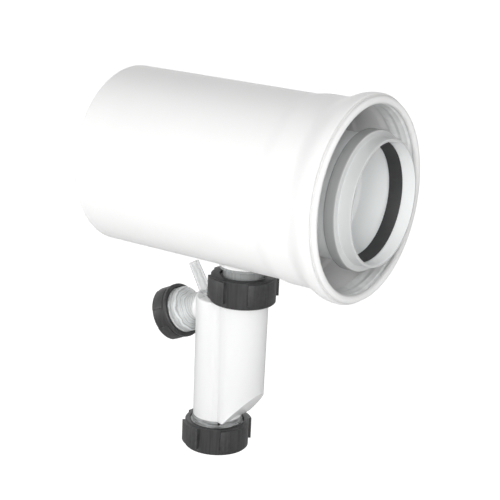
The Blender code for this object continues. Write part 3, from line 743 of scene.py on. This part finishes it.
def model_inner_pipe(sizes):
    """Plastic pipe: chamfered tail, socket with its seal bead and collar, drain boss underneath."""
    outer = sizes.inner_radius / MM
    bore, socket = outer - 2, outer + 0.25
    out, bead = socket + 1.75, outer + 6.45
    step_x, back, front = COLLAR - 40, MOUTH - 7.5, MOUTH + 0.8
    outline = [(outer - 1.2, TAIL), (outer, TAIL + 2.4), (outer, -60), (outer, 0), (outer, step_x - 3.5)]
    outline += ease((outer, step_x - 3), (out, step_x), 6)
    outline += arc(out + 0.5, back - 0.5, 0.5, 180, 90, 4)
    outline += arc(bead - 1.2, back + 1.2, 1.2, -90, 0, 7)
    outline += arc(bead - 1.2, front - 1.2, 1.2, 0, 90, 7)
    outline += arc(out + 0.6, front + 0.6, 0.6, 270, 180, 4)
    outline += arc(out - 0.6, COLLAR - 0.6, 0.6, 0, 90, 5)
    outline += arc(socket + 0.4, COLLAR - 0.4, 0.4, 90, 180, 4)
    wall = 0.925
    outline += [(socket, front - wall + 0.25), (socket + 0.25, front - wall), (bead - 1.85, front - wall)]
    outline += [(bead - 1.85, back + wall), (socket + 0.25, back + wall), (socket, back + wall - 0.25)]
    outline += ease((bore, step_x - 3), (socket, step_x), 6)[::-1]
    outline += [(bore, 0), (bore, -60), (bore, TAIL + 0.3), (bore + 0.3, TAIL)]
    pipe = turned("inner_pipe_tube", outline, sizes.round_steps)
    settle(pipe, along_x())
    boss_r, seat_r = 17.6, 15.0
    top = 1 - math.sqrt(bore ** 2 - boss_r ** 2)
    boss_outline = [(0, -57), (seat_r, -57), (boss_r - 0.5, -57), (boss_r, -56.5), (boss_r, top), (0, top)]
    boss = turned("boss", boss_outline, SMALL_STEPS)
    clear_bore(boss, bore, sizes.round_steps)
    combine(pipe, "UNION", boss)
    for name, radius, end in (("seat", seat_r, -42.5), ("drain", SPIGOT_BORE, -20)):
        hole = [(0, -58), (radius, -58), (radius, end), (0, end)]
        combine(pipe, "DIFFERENCE", turned(name, hole, SMALL_STEPS))
    return pipe


def model_inner_seal(sizes):
    """Black lip seal of the inner socket: foot, bright-edged front rib and a cone that leans back."""
    socket = sizes.inner_radius / MM + 0.25
    foot = sizes.inner_radius / MM + 6.45 - 1.85 - GAP
    back, front = MOUTH - 7.5 + 0.925 + GAP, MOUTH + 0.8 - 0.925 - GAP
    lip = sizes.inner_radius / MM - 2.5
    outline = [(foot, back), (socket + 1.3, back), (socket + 1.3, front - 2.6), (lip + 1.3, front + GAP - 8)]
    outline += [(lip, front + GAP - 8), (socket - 1.6, front - 1.2), (socket - 0.6, front + 1.3)]
    outline += [(socket - 0.3, front + 1.3), (socket - 0.3, front), (foot, front)]
    seal = turned("inner_lip_seal", round_corners(outline, 0.35), sizes.round_steps)
    settle(seal, along_x())
    return seal


def model_spigot():
    """Grey tube from the inner pipe's boss down into the trap, grooved for its O-ring."""
    bore, out, tip, groove = SPIGOT_BORE, SPIGOT_RADIUS, SPIGOT_RADIUS - 0.6, SPIGOT_RADIUS - 1.5
    outline = [(bore, -42.8), (tip, -42.8), (out, -44.0), (out, -50.8), (groove, -50.8), (groove, -53.4)]
    outline += [(out, -53.4), (out, -62), (out, -75), (out, -85.8), (tip, -87), (bore, -87)]
    return turned("drain_spigot_tube", outline, SMALL_STEPS)


def model_grommet():
    """Pale rubber sleeve between the steel neck and the spigot, with a flange below."""
    inside, sleeve, flange = SPIGOT_RADIUS + GAP, NECK_BORE - GAP, NECK_BORE + GAP
    outline = [(inside, -60.8), (sleeve, -60.8), (sleeve, -62.7)]
    outline += [(flange, -62.7), (flange, -64.6), (inside, -64.6)]
    return turned("neck_sleeve", round_corners(outline, 0.3), SMALL_STEPS)


# Nuts

def model_nut(name, height, radius, lug, bore, hole, lug_low, edge):
    """A moulded nut with four broad lugs, drawn out ring by ring with its lugs raised from the wall.

    It opens at height 0. A hole radius of 0 closes its far end, which then has a shallow ring and a dimple.
    """
    lug_high = lug_low + height - 4.2
    rim = max(radius, bore + 2.9)
    floor = height - NUT_END_WALL
    outline = [(bore + 0.35, 0), (rim - 0.7, 0), (rim, 0.7)]
    if rim > radius:
        outline += [(rim, lug_low - 0.7)]
    outline += [(radius, lug_low), (radius, lug_high), (radius, height - 0.7), (radius - 0.7, height)]
    if hole:
        outline += [(hole + 2.1, height), (hole + 1.8, height - 0.3), (hole + 1.6, height - 1.6)]
        outline += [(hole, height - 1.7), (hole, floor), (bore, floor), (bore, 0.35)]
    else:
        ring, dimple = height - 0.5, height - 0.25
        outline += [(radius - 3.4, height), (radius - 3.8, ring), (radius - 8, ring), (radius - 8.4, height)]
        outline += [(2.2, height), (2.0, dimple), (0.4, dimple), (0, dimple)]
        outline = [(0, floor), (bore, floor), (bore, 0.35)] + outline
    nut = turned(name, outline, NUT_STEPS)
    raise_lugs(nut, radius, lug, lug_low, lug_high)
    round_edges(nut, edge, 3)
    return nut


def raise_lugs(nut, radius, lug, low, high):
    """Raises a lug in each quarter of a nut's wall, between two heights in millimetres."""
    edit(nut)
    bpy.ops.mesh.select_all(action="DESELECT")
    mesh = bmesh.from_edit_mesh(nut.data)
    for face in mesh.faces:
        centre = face.calc_center_median()
        in_height = low * MM < centre.z < high * MM
        on_wall = abs(math.hypot(centre.x, centre.y) - radius * MM) < 0.02 * MM
        step = math.degrees(math.atan2(centre.y, centre.x)) % 90 / (360 / NUT_STEPS)
        face.select = in_height and on_wall and step < LUG_STEPS
    bmesh.update_edit_mesh(nut.data)
    bpy.ops.mesh.extrude_region_move(TRANSFORM_OT_translate={"value": (0, 0, 0)})
    grow = lug / radius
    bpy.ops.transform.resize(value=(grow, grow, 1), center_override=(0, 0, 0))
    leave_edit()


# The trap

def model_trap(sizes):
    """Clear moulding: two legs with a wall between, sloping floor, threaded mouths, branch and vent."""
    leg, wall, pitch = (value / MM for value in (sizes.leg_radius, sizes.wall, sizes.pitch))
    steps = sizes.round_steps
    body = trap_inlet_leg(leg, steps)
    for piece in (trap_outlet_leg(leg, steps), trap_stub(steps), trap_vent(), *trap_threads(pitch)):
        combine(body, "UNION", piece)
    combine(body, "DIFFERENCE", trap_water(leg, wall, steps))
    return body


def trap_inlet_leg(leg, steps):
    """The leg under the spigot: its coned mouth, the slope that cuts it off, and the web beside it."""
    draft, corner = 0.3, 1.2
    outline = [(0, TRAP_TOP), (16.2, TRAP_TOP), (18.2, -74.2), (THREAD_ROOT, -74.2), (THREAD_ROOT, -85.7)]
    outline += [(THREAD_CREST, -85.9), (THREAD_CREST, -86.4), (leg + draft, -87.2), (leg + draft * 0.3, -120)]
    outline += [(leg - draft, LEGS_FOOT + corner)]
    outline += arc(leg - draft - corner, LEGS_FOOT + corner, corner, 0, -90, 5) + [(0, LEGS_FOOT)]
    body = turned("trap_moulding", outline, steps)
    cut_slope(body, 0)
    round_edges(body, 2.2 * MM, 4, 38)
    combine(body, "UNION", block("web", (4.6, 32.4, 86), (OUTLET_LEG_X / 2, 0, -133.6)))
    return body


def trap_outlet_leg(leg, steps):
    """The leg over the cleaning port."""
    draft, corner = 0.3, 1.2
    outline = [(0, OUTLET_LEG_TOP)]
    outline += arc(leg + draft - corner, OUTLET_LEG_TOP - corner, corner, 90, 0, 5)
    outline += [(leg, -120), (leg - draft, LEGS_FOOT), (THREAD_ROOT - 0.6, -177.8), (THREAD_ROOT, -179.8)]
    outline += [(THREAD_ROOT, PORT_END + 0.7), (THREAD_ROOT - 0.7, PORT_END), (0, PORT_END)]
    piece = turned("outlet_leg", outline, steps)
    settle(piece, outlet_leg_place())
    return piece


def trap_stub(steps):
    """The outlet branch with its collar and threaded end, kept clear of the inlet nut."""
    out = BRANCH_CREST
    outline = [(0, -30), (9.5, -30), (9.5, -10.2), (10.1, -9.2), (15.4, -5.4), (out, -4.6), (out, -2.6)]
    outline += [(15.3, -2.2), (15.3, STUB_END), (0, STUB_END)]
    piece = turned("stub", outline, steps)
    settle(piece, branch_place())
    room = [(0, OUTLET_LEG_TOP), (25.6, OUTLET_LEG_TOP), (25.6, -74), (0, -74)]
    combine(piece, "DIFFERENCE", turned("room", room, steps))
    return piece


def trap_vent():
    """The slanting vent tube on the branch."""
    outline = [(0, 0), (4.3, 0), (3.72, 26.5), (3.6, 30.6), (3.2, 31.1), (0, 31.1)]
    piece = turned("vent", outline, VENT_STEPS)
    settle(piece, vent_place())
    return piece


def trap_threads(pitch):
    """Screw ridges of the inlet mouth, the cleaning port and the outlet."""
    inlet = thread("inlet_thread", THREAD_ROOT - 0.2, THREAD_CREST, pitch, -85.2, -75.6)
    port = thread("port_thread", THREAD_ROOT - 0.2, THREAD_CREST, pitch, -195.2, -180.9)
    settle(port, outlet_leg_place())
    outlet = thread("outlet_thread", 15.1, BRANCH_CREST, pitch, -1.0, STUB_END - 1.2)
    settle(outlet, branch_place())
    return inlet, port, outlet


def cut_slope(obj, lift):
    """Cuts the inlet leg off along the sloping floor, lifted square to it, and closes the cut."""
    up = Matrix.Rotation(-SLOPE_TILT, 3, "Y") @ Vector((0, 0, 1))
    edit(obj)
    bpy.ops.mesh.select_all(action="SELECT")
    at = Vector(SLOPE_EDGE) * MM + up * lift * MM
    bpy.ops.mesh.bisect(plane_co=at, plane_no=up, use_fill=True, clear_inner=True)
    leave_edit()
    face_outwards(obj)


def trap_water(leg, wall, steps):
    """The space inside the trap: seat, both legs less the wall between them, port, branch and vent."""
    bore, seat, middle = leg - wall, 15, OUTLET_LEG_X / 2
    outline = [(0, -79.2), (seat, -79.2), (seat, -87.5), (SPIGOT_BORE, -87.5), (SPIGOT_BORE, -90.2)]
    outline += [(bore, -91.1), (bore, -196), (0, -196)]
    water = turned("water", outline, steps)
    cut_slope(water, wall)
    outline = [(0, -197.2), (bore, -197.2), (bore, -92.1), (bore - 1, -91.1), (0, -91.1)]
    outlet = turned("outlet_water", outline, steps)
    settle(outlet, outlet_leg_place())
    combine(water, "DIFFERENCE", block("cover", (70, 70, 3.6), (-8.2 - 35, 0, OUTLET_LEG_TOP)))
    combine(water, "UNION", outlet)
    combine(water, "DIFFERENCE", block("partition", (1.6, 53, 72.5), (middle, 0, -160 + 36.25)))
    run = turned("run", [(0, -24), (7.6, -24), (7.6, -5), (14.0, -2.5), (14.0, 8), (0, 8)], steps)
    settle(run, branch_place())
    combine(water, "UNION", run)
    vent = turned("vent_water", [(0, 0), (2.2, 0), (2.2, 31.6), (0, 31.6)], VENT_STEPS)
    settle(vent, vent_place())
    combine(water, "UNION", vent)
    return water


# Operators

class DRAIN_OT_flue(bpy.types.Operator):
    """Models the outer and inner pipes and their lip seals"""
    bl_idname = "drain.flue"
    bl_label = "Flue pipes"

    def execute(self, context):
        settings = context.scene.drain
        coat = coated_steel(settings.colours)
        dress(model_outer_pipe(settings.flue), coat, "flue", "painted_steel", "outer_pipe")
        pale = rubber("pale rubber", tuple(settings.colours.pale_rubber), 0.5)
        dress(model_outer_seal(settings.flue), pale, "flue", "pale_rubber", "outer_seal")
        grey = pipe_plastic(settings.colours)
        dress(model_inner_pipe(settings.flue), grey, "flue", "grey_plastic", "inner_pipe")
        black = rubber("black rubber", tuple(settings.colours.black_rubber), 0.55)
        dress(model_inner_seal(settings.flue), black, "flue", "black_rubber", "inner_seal")
        return {"FINISHED"}


class DRAIN_OT_spigot(bpy.types.Operator):
    """Models the drain spigot and the sleeve in the steel neck"""
    bl_idname = "drain.spigot"
    bl_label = "Drain spigot"

    def execute(self, context):
        # The spigot and the sleeve both take the darker grey: painted shade under the flue.
        grey = shaded_spigot_plastic(context.scene.drain.colours)
        dress(model_spigot(), grey, "flue", "grey_plastic", "drain_spigot")
        dress(model_grommet(), grey, "flue", "pale_rubber", "neck_grommet")
        return {"FINISHED"}


class DRAIN_OT_rings(bpy.types.Operator):
    """Gives the rings that stay as the frame has them their finishes"""
    bl_idname = "drain.rings"
    bl_label = "Rings"

    def execute(self, context):
        white = ring_plastic(context.scene.drain.colours)
        for node in ("front_spacer", "rear_spacer", "inlet_slip_ring", "outlet_slip_ring"):
            dress_node(node, white)
        for node in ("spigot_o_ring", "inlet_cone_ring", "cap_gasket", "outlet_seal_ring"):
            dress_node(node, bpy.data.materials["black rubber"])
        return {"FINISHED"}


class DRAIN_OT_nuts(bpy.types.Operator):
    """Models the inlet nut, the cleaning cap and the outlet nut"""
    bl_idname = "drain.nuts"
    bl_label = "Nuts and cap"

    def execute(self, context):
        settings = context.scene.drain
        sizes = settings.nuts
        edge = sizes.edge
        large = {"height": sizes.height / MM, "radius": sizes.radius / MM, "lug": sizes.lug_radius / MM}
        large["bore"] = THREAD_CREST + GAP
        small = {"height": OUTLET_NUT_HEIGHT, "radius": 19.0, "lug": 19.45, "bore": BRANCH_CREST + GAP}
        black = nut_plastic(settings.colours)
        nut = model_nut("inlet_slip_nut", **large, hole=15.0, lug_low=3.4, edge=edge)
        settle(nut, Matrix.Translation((0, 0, INLET_NUT_FACE * MM)) @ spin(-48.05))
        dress(nut, black, "inlet_nut_body", "black_plastic", "inlet_nut")
        cap = model_nut("cleaning_port_cap", **large, hole=0, lug_low=0.8, edge=edge)
        port = Matrix.Translation((OUTLET_LEG_X * MM, 0, CAP_FACE * MM))
        settle(cap, port @ Matrix.Rotation(math.pi, 4, "X") @ spin(-1.45))
        dress(cap, black, "cap_body", "black_plastic", "cleaning_cap")
        outlet = model_nut("outlet_slip_nut", **small, hole=10.2, lug_low=3.4, edge=edge)
        settle(outlet, branch_place() @ spin(20.25))
        dress(outlet, black, "outlet_nut_body", "black_plastic", "outlet_nut")
        return {"FINISHED"}


class DRAIN_OT_trap(bpy.types.Operator):
    """Models the clear trap with its threads, branch and vent"""
    bl_idname = "drain.trap"
    bl_label = "Trap"

    def execute(self, context):
        settings = context.scene.drain
        milky = trap_plastic(settings.colours)
        dress(model_trap(settings.trap), milky, "trap", "clear_plastic", "trap_body")
        return {"FINISHED"}


class DRAIN_OT_stage(bpy.types.Operator):
    """Adds the floor, the soft lights, the room's light and the camera"""
    bl_idname = "drain.stage"
    bl_label = "Stage"

    def execute(self, context):
        stage = context.scene.drain.stage
        low = cad_box[0][2] - stage.floor_drop
        bpy.ops.object.select_all(action="DESELECT")
        bpy.ops.mesh.primitive_plane_add(size=30, location=(0, 0, low))
        floor = context.active_object
        floor.name = "floor"
        floor.data.materials.append(floor_finish())
        view = camera_place()
        toward = view.to_3x3() @ Vector((0, 0, 1))
        add_light("key light", view.translation + toward * 0.6 + Vector((-0.2, -0.05, 0.15)), 0.6, stage.key)
        add_light("front light", Vector((1.15, -0.95, -0.08)), 0.5, stage.front)
        add_light("side light", Vector((-0.95, -0.9, -0.1)), 0.7, stage.side)
        add_light("rear light", Vector((-0.9, 1.6, 0.5)), 1.4, stage.rear)
        light_room(context.scene, stage.zenith, stage.horizon)
        bpy.ops.object.camera_add()
        camera = context.active_object
        camera.name = "camera"
        camera.matrix_world = view
        camera.data.sensor_width = SENSOR_WIDTH
        camera.data.lens = FOCAL_PIXELS / PHOTO_PIXELS * SENSOR_WIDTH
        camera.data.clip_start = 0.05
        context.scene.camera = camera
        context.scene.view_settings.view_transform = "Standard"
        context.scene.cycles.transparent_max_bounces = 24
        return {"FINISHED"}


# The camera that was solved from the photograph, in metres and pixels
CAMERA_RIGHT = (0.82158, 0.56855, 0.04185)
CAMERA_UP = (-0.19426, 0.21018, 0.95817)
CAMERA_BACK = (0.53597, -0.79534, 0.28313)
CAMERA_AT = (0.54361, -0.800505, 0.233554)
FOCAL_PIXELS = 1467.7
PHOTO_PIXELS = 500
SENSOR_WIDTH = 36


def camera_place():
    rows = [(*row, at) for row, at in zip(zip(CAMERA_RIGHT, CAMERA_UP, CAMERA_BACK), CAMERA_AT)]
    return Matrix((*rows, (0, 0, 0, 1)))


def add_light(name, place, size, power):
    bpy.ops.object.light_add(type="AREA", location=place)
    light = bpy.context.active_object
    light.name = light.data.name = name
    light.data.shape = "DISK"
    light.data.size = size
    light.data.energy = power
    aim = Vector((0, 0, -0.03)) - Vector(place)
    light.rotation_euler = aim.to_track_quat("-Z", "Y").to_euler()


def floor_finish():
    """Pale floor: white to the camera with a faint shadow, and an even bounce for all other light."""
    material = bpy.data.materials.new("pale floor")
    material.use_nodes = True
    tree = material.node_tree
    tree.nodes.clear()
    finish = Finish("pale floor", tree=tree)

    def lit(grey, strength):
        matt = finish.add("ShaderNodeBsdfDiffuse", None, {"Color": (grey, grey, grey, 1)})
        glow = finish.add("ShaderNodeEmission", None, {"Color": (1, 1, 1, 1), "Strength": strength})
        return finish.add("ShaderNodeAddShader", None, {0: matt, 1: glow})

    camera = finish.add("ShaderNodeLightPath", output="Is Camera Ray")
    mixed = finish.add("ShaderNodeMixShader", None, {0: camera, 1: lit(0.6, 0.2), 2: lit(0.35, 0.93)})
    output = tree.nodes.new("ShaderNodeOutputMaterial")
    tree.links.new(mixed.socket, output.inputs["Surface"])
    return material


def light_room(scene, zenith, horizon):
    """White for what the camera, gloss and clear plastic see; for the rest, more light from the walls."""
    world = bpy.data.worlds.new("room")
    scene.world = world
    world.use_nodes = True
    tree = world.node_tree
    finish = Finish("room", tree=tree)
    path = tree.nodes.new("ShaderNodeLightPath")
    camera, gloss, clear = (Link(finish, path.outputs[name]) for name in
                            ("Is Camera Ray", "Is Glossy Ray", "Is Transmission Ray"))
    white = camera.math("MAXIMUM", camera.math("MAXIMUM", camera, gloss), clear)
    background = tree.nodes["Background"]
    background.inputs["Color"].default_value = (1, 1, 1, 1)
    here = finish.add("ShaderNodeTexCoord", output="Generated")
    height = abs(finish.add("ShaderNodeSeparateXYZ", None, {"Vector": here}, output="Z"))
    plain = horizon - height * (horizon - zenith)
    finish.set(background, {"Strength": white + (1 - white) * plain})


class DRAIN_PT_panel(bpy.types.Panel):
    """Lists the drain's pieces and sizes"""
    bl_idname = "DRAIN_PT_panel"
    bl_label = "Condensate drain"
    bl_space_type = "VIEW_3D"
    bl_region_type = "UI"
    bl_category = "Drain"

    def draw(self, context):
        layout = self.layout
        for operator in OPERATORS:
            layout.operator(operator.bl_idname)
        settings = context.scene.drain
        for group in (settings.flue, settings.trap, settings.nuts, settings.colours, settings.stage):
            box = layout.box()
            for name in group.bl_rna.properties.keys():
                if name not in ("rna_type", "name"):
                    box.prop(group, name)


OPERATORS = (DRAIN_OT_flue, DRAIN_OT_spigot, DRAIN_OT_rings, DRAIN_OT_nuts, DRAIN_OT_trap, DRAIN_OT_stage)
CLASSES = (DrainFlueSizes, DrainTrapSizes, DrainNutSizes, DrainColours, DrainStageSizes, DrainSettings,
           *OPERATORS, DRAIN_PT_panel)


def register():
    for cls in CLASSES:
        bpy.utils.register_class(cls)
    bpy.types.Scene.drain = PointerProperty(type=DrainSettings)


def unregister():
    del bpy.types.Scene.drain
    for cls in reversed(CLASSES):
        bpy.utils.unregister_class(cls)


def main():
    register()
    bpy.ops.drain.flue()
    bpy.ops.drain.spigot()
    bpy.ops.drain.rings()
    bpy.ops.drain.nuts()
    bpy.ops.drain.trap()
    bpy.ops.drain.stage()


if __name__ == "__main__":
    main()
